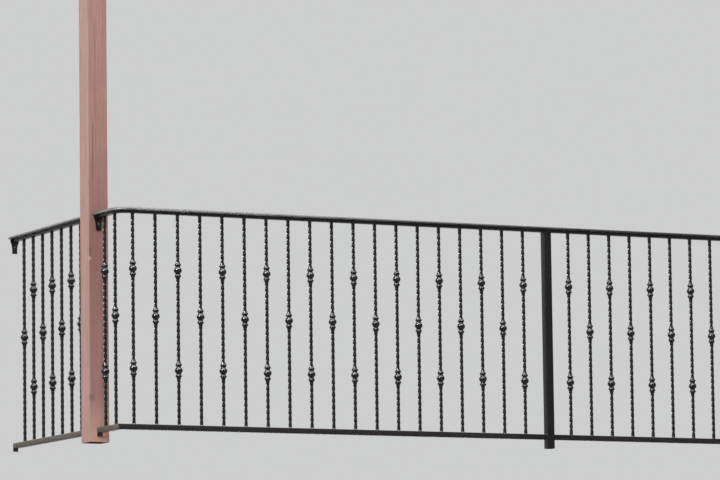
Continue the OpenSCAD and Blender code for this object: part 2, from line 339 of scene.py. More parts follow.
# Stretches over which a layer of the stain, or of its painted light and shade, comes or goes: in height,
# in distance from the iron post along X, and in depth along Y
# The painted shade on the front fades out above and below, and the painted bar shadow reaches lower by
# the inner edge
SHADE_TOP, SHADE_FOOT = (1.55, 0.85), (0.08, 0.85)
BAR_SHADOW_TOP, BAR_SHADOW_FOOT = (1.0, 0.55), (0.1, 0.2)
PALER_FOOT_TOP, FOOT_PATCH_TOP = (0.22, 0.04), (0.19, 0.08)
BAR_SHADOW_EDGE = (BAY_L + 0.012, BAY_L - 0.03)
FOOT_PATCH_EDGE = (BAY_L + 0.008, BAY_L - 0.012)
RUBBED_EDGE = (OUTER_X - 0.008, OUTER_X - 0.001)
RUBBED_DEPTH = (TIMBER_Y + 0.010, TIMBER_Y + 0.001)

# The pith runs through the left post, so its growth rings are round and the right one's straight
PITH_X, PITH_Y = -2.23, 0.255

# Noise patterns in the timber: scale, detail and roughness of each
GRAIN, STREAKS = (190.0, 6.0, 0.65), (38.0, 4.0, 0.6)
BLOTCHES, HAIRS = (4.5, 4.0, 0.6), (75.0, 2.0, 0.5)

# Wave patterns in it: scale, distortion, and scale and roughness of the detail
RINGS, SAW_LINES = (52.0, 2.6, 0.5, 0.4), (46.0, 5.0, 0.4, 0.5)

# How patterns are drawn out along the post
GRAIN_STRETCH, LONG_STRETCH = (1.0, 1.0, 0.045), (1.0, 1.0, 0.02)
TIMBER_GLOSS = 0.15

# Marks on the left post's front: place, reach, strength and colour of a pale chip and a soft knot
TIMBER_MARKS = (((-2.296, TIMBER_Y, 0.856), 0.014, 0.7, (0.53, 0.36, 0.31)),
                ((-2.291, TIMBER_Y, 0.206), 0.024, 0.5, (0.17, 0.085, 0.07)))


def front_shade_share(tree, height_up, sideways, front, blotches):
    """Painted shade on the front: darkest at mid height, and reaching further down by the inner edge as
    a painted bar shadow.
    """
    bar_shadow = product(tree, between(tree, sideways, *BAR_SHADOW_EDGE),
                       between(tree, height_up, *BAR_SHADOW_FOOT), between(tree, height_up, *BAR_SHADOW_TOP))
    midway = product(tree, between(tree, height_up, *SHADE_TOP), between(tree, height_up, *SHADE_FOOT))
    return product(tree, calc(tree, "MAXIMUM", midway, bar_shadow), front,
                   between(tree, blotches, 0.2, 0.8, 0.45, 0.95))


def rubbed_share(tree, place, sideways, streaks):
    """Rubbed stain along the front's outer edge."""
    return product(tree, between(tree, sideways, *RUBBED_EDGE),
                   between(tree, place["Y"], *RUBBED_DEPTH),
                   between(tree, streaks, 0.4, 0.6, 0.1, 0.5))


def foot_patch_share(tree, height_up, sideways, streaks):
    """A brown patch at the foot, by the inner edge."""
    return product(tree, between(tree, height_up, *FOOT_PATCH_TOP),
                   between(tree, sideways, *FOOT_PATCH_EDGE),
                   between(tree, streaks, 0.3, 0.65, 0.15, 0.5))


def marks_on_timber(tree, where):
    """The marks as layers: the share of each fades out from its middle."""
    layers = []
    for spot, reach, strength, colour in TIMBER_MARKS:
        away = node(tree, "ShaderNodeVectorMath", {0: where, 1: spot}, operation="DISTANCE")
        faded = between(tree, away.outputs["Value"], reach, reach * 0.4)
        layers.append((calc(tree, "MULTIPLY", faded, strength), colour))
    return layers


def timber_stain():
    """Faded red-brown stain on a rough sawn post, with rings, streaks and checks, painted light on the
    faces other than the front, and painted shade on the front and in its splits.
    """
    made, tree, shader = finish_material("timber_stain")
    where, place, facing = surface(tree)
    height_up, sideways = place["Z"], calc(tree, "ABSOLUTE", place["X"])
    front = between(tree, facing["Y"], -0.4, -0.9)
    along = stretched(tree, where, *GRAIN_STRETCH)
    grain = noise_at(tree, along, *GRAIN)
    streaks = noise_at(tree, along, *STREAKS)
    blotches = noise_at(tree, where, *BLOTCHES)
    pith = stretched(tree, where, *LONG_STRETCH, shift=(-PITH_X, -PITH_Y, 0.0))
    rings = wave_at(tree, pith, *RINGS, wave_type="RINGS", rings_direction="Z")
    hairs = noise_at(tree, stretched(tree, where, *LONG_STRETCH), *HAIRS)
    hair_checks = between(tree, hairs, 0.71, 0.74)
    # The painted shade of each split, stored on the post's vertices
    split = node(tree, "ShaderNodeAttribute", attribute_name="split").outputs["Fac"]
    paint = layered(tree, mixed(tree, between(tree, blotches, 0.3, 0.7), *STAINS), (
        # Painted light on the faces other than the front
        (between(tree, front, 0.0, 1.0, 0.3, 0.0), PAINTED_SIDE_LIGHT),
        (between(tree, streaks, 0.4, 0.75, 0.0, 0.7), PALE_STREAK),
        (calc(tree, "MULTIPLY", rings, 0.22), GROWTH_RING),
        (between(tree, grain, 0.5, 0.64, 0.0, 0.4), DARK_GRAIN),
        # Painted shade on the front
        (front_shade_share(tree, height_up, sideways, front, blotches), PAINTED_FRONT_SHADE),
        (product(tree, between(tree, height_up, *PALER_FOOT_TOP, 0.0, 0.8), front), PALER_FOOT),
        (rubbed_share(tree, place, sideways, streaks), RUBBED),
        *marks_on_timber(tree, where),
        (foot_patch_share(tree, height_up, sideways, streaks), FOOT_PATCH),
        (between(tree, facing["Z"], 0.8, 0.95), mixed(tree, rings, *END_GRAIN)),
        (calc(tree, "MULTIPLY", hair_checks, 0.7), HAIR_CHECK),
        (split, PAINTED_SPLIT_SHADE)))
    rough = between(tree, grain, 0.3, 0.7, 0.6, 0.8)
    saw_lines = wave_at(tree, where, *SAW_LINES, wave_type="BANDS", bands_direction="Z")
    relief = calc(tree, "SUBTRACT", calc(tree, "MULTIPLY", grain, 0.5), hair_checks)
    relief = calc(tree, "ADD", relief, calc(tree, "MULTIPLY", saw_lines, 0.12))
    shader.inputs["Specular IOR Level"].default_value = TIMBER_GLOSS
    coat(tree, shader, paint, rough, relief, 0.5, 0.0015)
    return made


# Paint on the bolts

BOLT_BLACK = (0.012, 0.0115, 0.012)
BOLT_RUST = (0.09, 0.04, 0.022)
WORN = (380.0, 4.0, 0.5)


def bolt_steel():
    """Dull black bolt heads with patches of rust."""
    made, tree, shader = finish_material("bolt_steel")
    where = node(tree, "ShaderNodeTexCoord").outputs["Object"]
    worn = between(tree, noise_at(tree, where, *WORN), 0.5, 0.68)
    paint = mixed(tree, worn, BOLT_BLACK, BOLT_RUST)
    coat(tree, shader, paint, between(tree, worn, 0.0, 1.0, 0.35, 0.75), worn, 0.3, 0.0005)
    return made


PAINT = black_paint()
TIMBER = timber_stain()
BOLTS = bolt_steel()


# Mesh helpers

# Angles in degrees above which an edge stays sharp
CREASE, BAR_CREASE, WELD_CREASE, BOLT_CREASE = 38.0, 40.0, 60.0, 30.0


def smooth(mesh, crease):
    """Shades a mesh smooth, but leaves its creases sharp."""
    mesh.shade_smooth()
    mesh.set_sharp_from_angle(angle=radians(crease))
    return mesh


def as_mesh(bm, name, left=False, crease=CREASE):
    """The finished mesh of a form that is built for the right side, mirrored for the left one."""
    if left:
        bmesh.ops.transform(bm, matrix=Matrix.Diagonal((-1, 1, 1, 1)), verts=bm.verts)
    bmesh.ops.recalc_face_normals(bm, faces=bm.faces)
    mesh = bpy.data.meshes.new(name)
    bm.to_mesh(mesh)
    bm.free()
    return smooth(mesh, crease)


def in_scene(name, mesh):
    """A new object in the scene."""
    made = bpy.data.objects.new(name, mesh)
    bpy.context.scene.collection.objects.link(made)
    return made


def piece(name, mesh, paint, slot, *nodes):
    """Puts a finished mesh in the scene as a piece that stands for these nodes."""
    made = in_scene(name, mesh)
    mesh.materials.clear()
    mesh.materials.append(paint)
    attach(made, "root")
    if nodes:
        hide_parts(*nodes)
    return made


def skin(bm, rows):
    """Quads between rows of vertices, and a face over each end."""
    count = len(rows[0])
    for lower, upper in zip(rows, rows[1:]):
        for i in range(count):
            j = (i + 1) % count
            bm.faces.new((lower[i], lower[j], upper[j], upper[i]))
    bm.faces.new(rows[0][::-1])
    bm.faces.new(rows[-1])


def loft(bm, rings):
    """A closed skin over rings of points."""
    skin(bm, [[bm.verts.new(point) for point in ring] for ring in rings])


def arc(centre, radius, start, end, steps):
    """Points of an arc, with its angles in degrees."""
    turns = [radians(start + (end - start) * i / steps) for i in range(steps + 1)]
    return [(centre[0] + radius * cos(a), centre[1] + radius * sin(a)) for a in turns]


def circle(radius, z, sides):
    """Points of a level circle round the Z axis."""
    turns = [2 * pi * i / sides for i in range(sides)]
    return [(radius * cos(a), radius * sin(a), z) for a in turns]


def eased_square(width, height, radius, steps):
    """Outline of a rectangle with eased corners, centred on the origin."""
    x, y = width / 2 - radius, height / 2 - radius
    corners = ((x, y, 0), (-x, y, 90), (-x, -y, 180), (x, -y, 270))
    return [p for cx, cy, a in corners for p in arc((cx, cy), radius, a, a + 90, steps)]


# Balusters

def turned_knuckle():
    """The knuckle: a big bead between two rings, with a sleeve that tapers to the bar at each end."""
    ring_r, bead_r, sleeve_r = RING_H / 2, BEAD_H / 2, SLEEVE_D / 2
    end = KNUCKLE_H / 2

    # The lower half: a sleeve with an eased end that widens upwards, a ring, a neck and the bead
    sleeve = [(sleeve_r - SLEEVE_EASE, -end), (sleeve_r - 0.0003, -end + 0.0004),
              (sleeve_r, -end + SLEEVE_EASE), (sleeve_r + SLEEVE_FLARE, -RING_Z - ring_r - 0.001)]
    ring = arc((RING_D / 2 - ring_r, -RING_Z), ring_r, *RING_ARC)
    neck = [(NECK_D / 2, -RING_Z + ring_r + 0.0006), (NECK_D / 2, -bead_r + 0.0008)]
    bead = arc((BEAD_D / 2 - bead_r, 0), bead_r, *BEAD_ARC)
    lower = sleeve + ring + neck
    outline = lower + bead + [(r, -z) for r, z in reversed(lower)]
    bm = bmesh.new()
    rows = [[bm.verts.new((0, 0, -end))]]
    rows += [[bm.verts.new(point) for point in circle(r, z, KNUCKLE_SIDES)] for r, z in outline]
    rows.append([bm.verts.new((0, 0, end))])
    for below, above in zip(rows, rows[1:]):
        for i in range(KNUCKLE_SIDES):
            j = (i + 1) % KNUCKLE_SIDES
            quad = [below[i % len(below)], below[j % len(below)],
                    above[j % len(above)], above[i % len(above)]]
            bm.faces.new(list(dict.fromkeys(quad)))
    return as_mesh(bm, "knuckle", crease=BAR_CREASE)


def weld_ring(width, depth, reach, seed):
    """A lumpy fillet weld round a bar that stands on the plane z = 0."""
    bm = bmesh.new()
    base = eased_square(width, depth, WELD_CORNER_R, 1)
    points = []
    for (ax, ay), (bx, by) in zip(base, base[1:] + base[:1]):
        steps = max(1, round(sqrt((bx - ax) ** 2 + (by - ay) ** 2) / WELD_STEP))
        points += [(ax + (bx - ax) * i / steps, ay + (by - ay) * i / steps) for i in range(steps)]
    rings = []
    for x, y in points:
        bumpy = noise.noise(Vector((x * WELD_LUMPS, y * WELD_LUMPS, seed)))
        lump = reach * (WELD_EVEN + WELD_UNEVEN * bumpy)
        size = sqrt(x * x + y * y)
        ox, oy = x / size, y / size
        section = [(-WELD_BITE, 0.0), *((lump * s, lump * t) for s, t in WELD_SECTION),
                   (-WELD_BITE, lump)]
        rings.append([bm.verts.new((x + ox * s, y + oy * s, t)) for s, t in section])
    for here, there in zip(rings, rings[1:] + rings[:1]):
        for i, vert in enumerate(here):
            j = (i + 1) % len(here)
            bm.faces.new((vert, here[j], there[j], there[i]))
    return as_mesh(bm, "weld", crease=WELD_CREASE)


def open_tree(name, inputs):
    """A geometry nodes tree with these named inputs, each given as its kind and its default."""
    tree = bpy.data.node_groups.new(name, "GeometryNodeTree")
    for label, (kind, default) in inputs.items():
        made = tree.interface.new_socket(label, in_out="INPUT", socket_type="NodeSocket" + kind)
        if default is not None:
            made.default_value = default
    tree.interface.new_socket("Geometry", in_out="OUTPUT", socket_type="NodeSocketGeometry")
    return tree, tree.nodes.new("NodeGroupInput").outputs


def close_tree(tree, geometry, paint):
    """Ends a tree with real geometry that has its material."""
    real = node(tree, "GeometryNodeRealizeInstances", {"Geometry": geometry}).outputs[0]
    painted = node(tree, "GeometryNodeSetMaterial", {"Geometry": real, "Material": paint}).outputs[0]
    node(tree, "NodeGroupOutput", {"Geometry": painted})
    return tree


def twist_at(tree, given, knuckles):
    """The turn of a bar by height: whole quarter turns on each stretch between its plain parts."""
    position = node(tree, "GeometryNodeInputPosition").outputs[0]
    height = axes_of(tree, position)["Z"]
    starts = [calc(tree, "ADD", given["Tube Top"], given["Plain End"])]
    ends = []
    for i in reversed(range(knuckles)):
        ends.append(calc(tree, "SUBTRACT", given[f"Knuckle {i + 1}"], given["Knuckle Reach"]))
        starts.append(calc(tree, "ADD", given[f"Knuckle {i + 1}"], given["Knuckle Reach"]))
    ends.append(calc(tree, "SUBTRACT", given["Channel Underside"], given["Plain End"]))
    tilt = 0.0
    for start, end in zip(starts, ends):
        turns = calc(tree, "DIVIDE", calc(tree, "SUBTRACT", end, start), given["Quarter Turn"])
        turn = calc(tree, "MULTIPLY", calc(tree, "ROUND", turns), -pi / 2)
        tilt = calc(tree, "ADD", tilt, between(tree, height, start, end, 0.0, turn))
    return tilt


def twisted_bar(tree, given, knuckles):
    """A bar: an upright line whose tilt follows the height, so that its square section twists."""
    line = node(tree, "GeometryNodeCurvePrimitiveLine", {
        "Start": up_by(tree, given["Foot Height"]), "End": up_by(tree, given["Head Height"])}).outputs[0]
    length = calc(tree, "SUBTRACT", given["Head Height"], given["Foot Height"])
    rings = calc(tree, "MULTIPLY", calc(tree, "DIVIDE", length, given["Quarter Turn"]),
                 RINGS_PER_QUARTER)
    line = node(tree, "GeometryNodeResampleCurve", {"Curve": line, "Count": rings}).outputs[0]
    line = node(tree, "GeometryNodeSetCurveTilt", {
        "Curve": line, "Tilt": twist_at(tree, given, knuckles)}).outputs[0]
    section = node(tree, "GeometryNodeCurvePrimitiveQuadrilateral", {
        "Width": given["Bar Width"], "Height": given["Bar Width"]}).outputs[0]
    section = node(tree, "GeometryNodeFilletCurve", {
        "Curve": section, "Radius": given["Corner Radius"], "Count": 1}, mode="POLY").outputs[0]
    flat_side = calc(tree, "MODULO", node(tree, "GeometryNodeInputIndex").outputs[0], 2.0)
    section = node(tree, "GeometryNodeSubdivideCurve", {
        "Curve": section, "Cuts": calc(tree, "MULTIPLY", flat_side, CUTS_PER_FLAT)}).outputs[0]
    return node(tree, "GeometryNodeCurveToMesh", {
        "Curve": line, "Profile Curve": section, "Fill Caps": True}).outputs[0]


def set_at(tree, places, offset, form, turn=0.0):
    """A form set at each place, moved by the offset and turned about X."""
    spots = node(tree, "GeometryNodeSetPosition", {"Geometry": places, "Offset": offset}).outputs[0]
    return node(tree, "GeometryNodeInstanceOnPoints", {
        "Points": spots, "Instance": form, "Rotation": (turn, 0.0, 0.0)}).outputs[0]


def baluster_tree(kind, knuckles):
    """Geometry nodes that set a row of twisted bars, with a knuckle at each named height."""
    sizes = {"Bar Width": BAR_W, "Corner Radius": BAR_EASE_R, "Foot Height": TUBE_Z - BAR_BITE,
             "Head Height": CHANNEL_Z + BAR_BITE, "Tube Top": TUBE_Z, "Channel Underside": CHANNEL_Z,
             "Quarter Turn": QUARTER_TURN, "Plain End": PLAIN_END,
             "Knuckle Reach": KNUCKLE_H / 2 + KNUCKLE_GAP}
    sizes.update({f"Knuckle {i + 1}": (TUBE_Z + CHANNEL_Z) / 2 for i in range(knuckles)})
    tree, given = open_tree(kind + "_bars", {
        **{name: ("Float", value) for name, value in sizes.items()},
        "First Place": ("Vector", None), "Spacing": ("Vector", None), "Count": ("Int", 1),
        "Seed": ("Int", 7), "Knuckle": ("Object", None), "Weld": ("Object", None),
        "Paint": ("Material", None)})
    bar = twisted_bar(tree, given, knuckles)
    places = node(tree, "GeometryNodeMeshLine", {
        "Count": given["Count"], "Start Location": given["First Place"],
        "Offset": given["Spacing"]}).outputs[0]
    rows = [node(tree, "GeometryNodeInstanceOnPoints", {"Points": places, "Instance": bar}).outputs[0]]
    knuckle = node(tree, "GeometryNodeObjectInfo", {"Object": given["Knuckle"]}).outputs["Geometry"]
    for i in range(knuckles):
        drift = node(tree, "FunctionNodeRandomValue", {
            "Min": (0, 0, -KNUCKLE_DRIFT), "Max": (0, 0, KNUCKLE_DRIFT),
            "Seed": calc(tree, "ADD", given["Seed"], float(i))}, data_type="FLOAT_VECTOR").outputs[0]
        lift = node(tree, "ShaderNodeVectorMath", {
            0: up_by(tree, given[f"Knuckle {i + 1}"]), 1: drift}, operation="ADD").outputs[0]
        rows.append(set_at(tree, places, lift, knuckle))
    weld = node(tree, "GeometryNodeObjectInfo", {"Object": given["Weld"]}).outputs["Geometry"]
    for level, turn in (("Tube Top", 0.0), ("Channel Underside", pi)):
        rows.append(set_at(tree, places, up_by(tree, given[level]), weld, turn))
    joined = tree.nodes.new("GeometryNodeJoinGeometry")
    for row in rows:
        tree.links.new(row, joined.inputs[0])
    return close_tree(tree, joined.outputs[0], given["Paint"])


def grown(name, tree, values, crease, start=None):
    """The plain mesh that a geometry nodes tree gives with these named inputs."""
    host = in_scene(name, start or bpy.data.meshes.new(name))
    modifier = host.modifiers.new("grow", "NODES")
    modifier.node_group = tree
    for item in tree.interface.items_tree:
        if item.in_out == "INPUT" and item.name in values:
            modifier[item.identifier] = values[item.name]
    bpy.context.view_layer.update()
    evaluated = host.evaluated_get(bpy.context.evaluated_depsgraph_get())
    mesh = bpy.data.meshes.new_from_object(evaluated)
    host.modifiers.clear()
    bpy.data.objects.remove(host)
    mesh.name = name
    return smooth(mesh, crease)


KNUCKLE = in_scene("knuckle_form", turned_knuckle())
BAR_WELD = in_scene("bar_weld_form", weld_ring(BAR_W, BAR_W, BAR_WELD_R, 3.0))
TREES = {kind: baluster_tree(kind, len(shares)) for kind, shares in KNUCKLE_SHARES.items()}


def balusters(name, kind, first, spacing, count, seed):
    """The mesh of a row of bars of one kind."""
    values = {"First Place": first, "Spacing": spacing, "Count": count, "Seed": seed,
              "Knuckle": KNUCKLE, "Weld": BAR_WELD, "Paint": PAINT}
    for i, share in enumerate(KNUCKLE_SHARES[kind]):
        values[f"Knuckle {i + 1}"] = CHANNEL_Z - share * (CHANNEL_Z - TUBE_Z)
    return grown(name, TREES[kind], values, BAR_CREASE)


def baluster_row(replaced, *row):
    """A row of bars as the piece that stands for its node."""
    name = "twisted_" + replaced
    piece(name, balusters(name, *row), PAINT, "iron", replaced)


def front_balusters(side, sign, seed):
    """The bars of one front bay, which starts with a double one."""
    for skip, kind in enumerate(("double", "single")):
        first = (sign * (FIRST_BAR[side] + skip * PITCH), 0, 0)
        baluster_row(f"{side}_{kind}_balusters", kind, first, (sign * 2 * PITCH, 0, 0),
                     (FRONT_BARS + 1 - skip) // 2, seed + skip)


def side_balusters(side, sign, seed):
    """The bars of one side panel, which starts with a single one."""
    for skip, kind in enumerate(("single", "double")):
        first = (sign * BAY_L, TIMBER_BACK + SIDE_GAP + skip * PITCH, 0)
        baluster_row(f"{side}_side_{kind}_balusters", kind, first, (0, 2 * PITCH, 0),
                     (SIDE_BARS + 1 - skip) // 2, seed + skip)


def corner_balusters(side, sign, seed):
    """The single and the double bar on one short return."""
    bm = bmesh.new()
    for kind, y in zip(("single", "double"), CORNER_BARS):
        bm.from_mesh(balusters("corner", kind, (sign * BAY_L, y, 0), (0, 1, 0), 1, seed))
    replaced = f"{side}_corner_balusters"
    mesh = bpy.data.meshes.new("twisted_" + replaced)
    bm.to_mesh(mesh)
    bm.free()
    piece("twisted_" + replaced, smooth(mesh, BAR_CREASE), PAINT, "iron", replaced)


for number, (side, sign) in enumerate(SIDES.items()):
    front_balusters(side, sign, 10 * number)
    side_balusters(side, sign, 10 * number + 4)
    corner_balusters(side, sign, 10 * number + 8)

for form in (KNUCKLE, BAR_WELD):
    bpy.data.objects.remove(form)


# Rails

# Steps of the arcs in the rails and lugs
EASE_STEPS, SHOULDER_STEPS, CROWN_STEPS, BEND_STEPS, FLARE_STEPS = 4, 10, 14, 18, 8


def cap_outline():
    """Section of the cap rail: flat below, upright edges, round shoulders and a low crown."""
    ease_x, shoulder_x = CAP_W / 2 - CAP_EASE_R, CAP_W / 2 - SHOULDER_R
    right = arc((ease_x, CAP_EASE_R), CAP_EASE_R, -90, 0, EASE_STEPS)
    right += arc((shoulder_x, CAP_EDGE_H), SHOULDER_R, 0, SHOULDER_TURN, SHOULDER_STEPS)
    x, y = right[-1]
    rise = CAP_T - y
    crown_r = (x * x + rise * rise) / (2 * rise)
    half = degrees(asin(x / crown_r))
    crown = arc((0, CAP_T - crown_r), crown_r, 90 - half, 90 + half, CROWN_STEPS)
    return right + crown[1:-1] + [(-x, y) for x, y in reversed(right)]


def channel_outline():
    """Section of the channel: web below, legs up, with eased outer corners."""
    half, inner, r = CHANNEL_W / 2, CHANNEL_W / 2 - CHANNEL_T, CHANNEL_EASE_R
    outer = arc((-half + r, r), r, 180, 270, EASE_STEPS) + arc((half - r, r), r, 270, 360, EASE_STEPS)
    return outer + [(half, CHANNEL_H), (inner, CHANNEL_H), (inner, CHANNEL_T),
                    (-inner, CHANNEL_T), (-inner, CHANNEL_H), (-half, CHANNEL_H)]


# The ways outward from the front and from the side
FRONTWARD, SIDEWARD = (0.0, -1.0), (1.0, 0.0)


def along_front(start_x, end_x):
    """Points and outward directions along the front."""
    return [((start_x, 0.0), FRONTWARD), ((end_x, 0.0), FRONTWARD)]


def along_side(start_y, end_y):
    """Points and outward directions along the side."""
    return [((BAY_L, start_y), SIDEWARD), ((BAY_L, end_y), SIDEWARD)]


def bent_path(start_x, end_y):
    """Points and outward directions along the front, round the bend and back along the side."""
    bend = [((BAY_L - BEND_R + BEND_R * x, BEND_R + BEND_R * y), (x, y))
            for x, y in arc((0, 0), 1, -90, 0, BEND_STEPS)]
    return [((start_x, 0.0), FRONTWARD)] + bend + [((BAY_L, end_y), SIDEWARD)]


def swept(outline, path, z, name, left):
    """A section run along a level path: the outline's x is outward and its y is up."""
    bm = bmesh.new()
    loft(bm, [[(x + s * ox, y + s * oy, z + t) for s, t in outline] for (x, y), (ox, oy) in path])
    return as_mesh(bm, name, left)


def tube(path, left, mitred_end=None):
    """The square tube on a straight path; the end whose number is given is cut at 45 degrees."""
    rings = []
    for i, ((x, y), (ox, oy)) in enumerate(path):
        cut_x, cut_y = (SIDEWARD if oy else FRONTWARD) if i == mitred_end else (0.0, 0.0)
        rings.append([(x + s * ox + s * cut_x, y + s * oy + s * cut_y, FLOOR_GAP + TUBE_W / 2 + t)
                      for s, t in eased_square(TUBE_W, TUBE_W, EDGE_R, EASE_STEPS)])
    bm = bmesh.new()
    loft(bm, rings)
    return as_mesh(bm, "tube", left)


def rails(left):
    """The meshes of one side's rails, by the names of their nodes."""
    cap, channel = cap_outline(), channel_outline()
    to_post = bent_path(0.0, TIMBER_Y)
    to_lug = bent_path(IRON_W / 2, TIMBER_Y - LUG_T)
    side_panel = along_side(TIMBER_BACK + LUG_T, SIDE_L - LUG_T)
    return {
        "cap_rail": swept(cap, to_post, CAP_Z, "cap", left),
        "top_channel": swept(channel, to_lug, CHANNEL_Z, "channel", left),
        "bottom_rail": tube(along_front(IRON_W / 2, BAY_L), left, 1),
        "corner_bottom_rail": tube(along_side(0.0, TIMBER_Y - LUG_T), left, 0),
        "side_cap_rail": swept(cap, along_side(TIMBER_BACK, SIDE_L), CAP_Z, "cap", left),
        "side_top_channel": swept(channel, side_panel, CHANNEL_Z, "channel", left),
        "side_bottom_rail": tube(side_panel, left)}


for side in SIDES:
    for name, mesh in rails(side == "left").items():
        piece(f"painted_{side}_{name}", mesh, PAINT, "iron", f"{side}_{name}")


# Iron post

UPRIGHT_STEPS = 24
POST_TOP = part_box("iron_post")[1].z
FOOT_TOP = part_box("iron_post_foot")[1].z


def iron_upright(z0, z1, name):
    """A length of the iron post over the origin."""
    outline = eased_square(IRON_W, IRON_W, EDGE_R, EASE_STEPS)
    bm = bmesh.new()
    levels = [z0 + (z1 - z0) * i / UPRIGHT_STEPS for i in range(UPRIGHT_STEPS + 1)]
    loft(bm, [[(x, y, z) for x, y in outline] for z in levels])
    return as_mesh(bm, name)


def post_welds():
    """Fillet welds where the rails meet the iron post."""
    bm = bmesh.new()
    heights = ((FLOOR_GAP + TUBE_W / 2, TUBE_W, 1.0), (CHANNEL_Z + CHANNEL_H / 2, CHANNEL_H, 2.0))
    for sign in SIDES.values():
        for z, height, seed in heights:
            mesh = weld_ring(height, CHANNEL_W, POST_WELD_R, seed + sign)
            turn = Matrix.Rotation(sign * pi / 2, 4, "Y")
            mesh.transform(Matrix.Translation((sign * IRON_W / 2, 0, z)) @ turn)
            bm.from_mesh(mesh)
            bpy.data.meshes.remove(mesh)
    return as_mesh(bm, "post_welds", crease=WELD_CREASE)


piece("painted_iron_post", iron_upright(FOOT_TOP, POST_TOP, "post"), PAINT, "iron", "iron_post")
piece("painted_iron_post_foot", iron_upright(0.0, FOOT_TOP, "foot"), PAINT, "iron", "iron_post_foot")
piece("iron_post_welds", post_welds(), PAINT, "iron")


# Timber posts

# The faces of a post, each with the way it looks and the way across it
FRONT, OUTER, BACK, INNER = range(4)
FACES = {FRONT: ((0, -1), (1, 0)), OUTER: ((1, 0), (0, 1)), BACK: ((0, 1), (-1, 0)),
         INNER: ((-1, 0), (0, -1))}

# Splits: the face, the place across it, the lowest and highest point, the depth and half the width.
# The left post is built as the right one is and then mirrored, its splits with it.
SPLITS = {
    "left": ((FRONT, 0.041, 0.866, 0.902, 0.0045, 0.0045),
             (FRONT, -0.014, 0.10, 0.86, 0.0022, 0.0009),
             (FRONT, 0.012, 1.22, 1.98, 0.0025, 0.0010),
             (OUTER, 0.035, 0.12, 2.06, 0.0026, 0.0013),
             (OUTER, -0.012, 1.05, 1.70, 0.0016, 0.0008),
             (BACK, 0.006, 0.30, 1.45, 0.0030, 0.0012),
             (INNER, -0.010, 0.75, 1.80, 0.0024, 0.0010),
             (INNER, 0.027, 0.06, 0.62, 0.0020, 0.0009)),
    "right": ((FRONT, 0.008, 0.22, 1.15, 0.0026, 0.0011),
              (FRONT, -0.030, 1.30, 1.92, 0.0018, 0.0008),
              (OUTER, -0.020, 0.08, 1.35, 0.0028, 0.0012),
              (BACK, 0.018, 0.60, 2.02, 0.0026, 0.0011),
              (BACK, -0.028, 0.05, 0.48, 0.0016, 0.0008),
              (INNER, 0.015, 0.15, 1.60, 0.0024, 0.0010))}
WIDE_SPLIT, SPLIT_CLEARANCE, SPLIT_DRIFT, SPLIT_TAPER = 0.003, 0.0035, 0.0016, 6
# Painted shade in the splits: the depth past which a split counts as deep, the depth that gives full
# shade, and the most shade that a shallow one gets
DEEP, DARK_FROM, SHALLOW_SHADE = 0.003, 0.0016, 0.6

# The sawn surface: how finely it is built, and how far it wavers below a flat one
POST_LEVELS, FACE_COLUMNS, CORNER_STEPS = 214, 13, 4
TIMBER_FLAT = TIMBER_W / 2 - TIMBER_R
BROAD_WAVER, FINE_WAVER, CORNER_SINK = 0.0004, 0.00022, 0.0003

# How fast the two wavers and the drift of a split vary, across and along the post
BROAD_ACROSS, BROAD_ALONG = 35, 2.6
FINE_ACROSS, FINE_ALONG = 210, 12.0
DRIFT_ACROSS, DRIFT_ALONG = 90, 4.0


def columns_across(splits, z, seed):
    """Places across one face at this height, each with its depth below the face."""
    evenly = [-TIMBER_FLAT + 2 * TIMBER_FLAT * i / FACE_COLUMNS for i in range(FACE_COLUMNS + 1)]
    columns = [(u, 0.0) for u in evenly
               if all(abs(u - place) > width + SPLIT_CLEARANCE for place, *_, width in splits)]
    for place, low, high, depth, width in splits:
        along = (z - low) / (high - low)
        opened = max(0.0, min(1.0, SPLIT_TAPER * along * (1 - along)))
        gape = sqrt(opened) if 0 < along < 1 else 0.0
        if width < WIDE_SPLIT:
            drift = noise.noise(Vector((place * DRIFT_ACROSS, z * DRIFT_ALONG, seed)))
            place += SPLIT_DRIFT * drift
        columns += [(place - width, 0.0), (place, depth * gape), (place + width, 0.0)]
    return sorted(columns)


def waver(face, u, z, seed):
    """How far the rough sawn face lies below a flat one."""
    broad = noise.noise(Vector((u * BROAD_ACROSS + 9 * face, z * BROAD_ALONG, seed)))
    fine = noise.noise(Vector((u * FINE_ACROSS + 5 * face, z * FINE_ALONG, seed + 3)))
    return max(0.0, BROAD_WAVER + BROAD_WAVER * broad + FINE_WAVER * fine)


def split_shade(depth):
    """How much painted shade darkens a split at this depth: only a deep one turns quite dark."""
    return min(1.0 if depth > DEEP else SHALLOW_SHADE, depth / DARK_FROM)


def timber_post(centre, z0, z1, splits, seed, left):
    """A rough sawn post: eased edges, slightly wavering faces and splits along the grain."""
    bm = bmesh.new()
    dark = bm.verts.layers.float.new("split")
    rows = []
    for level in range(POST_LEVELS + 1):
        z = z0 + (z1 - z0) * level / POST_LEVELS
        row = []
        for face, ((nx, ny), (tx, ty)) in FACES.items():
            here = [split[1:] for split in splits if split[0] == face]
            for u, depth in columns_across(here, z, seed):
                out = TIMBER_W / 2 - waver(face, u, z, seed) - depth
                vert = bm.verts.new((centre[0] + nx * out + tx * u, centre[1] + ny * out + ty * u, z))
                vert[dark] = split_shade(depth)
                row.append(vert)
            for i in range(1, CORNER_STEPS):
                turn = radians(90 * i / CORNER_STEPS)
                out, across = (TIMBER_FLAT + TIMBER_R * f(turn) - CORNER_SINK for f in (cos, sin))
                row.append(bm.verts.new((centre[0] + nx * out + tx * across,
                                         centre[1] + ny * out + ty * across, z)))
        rows.append(row)
    skin(bm, rows)
    return as_mesh(bm, "timber", left)


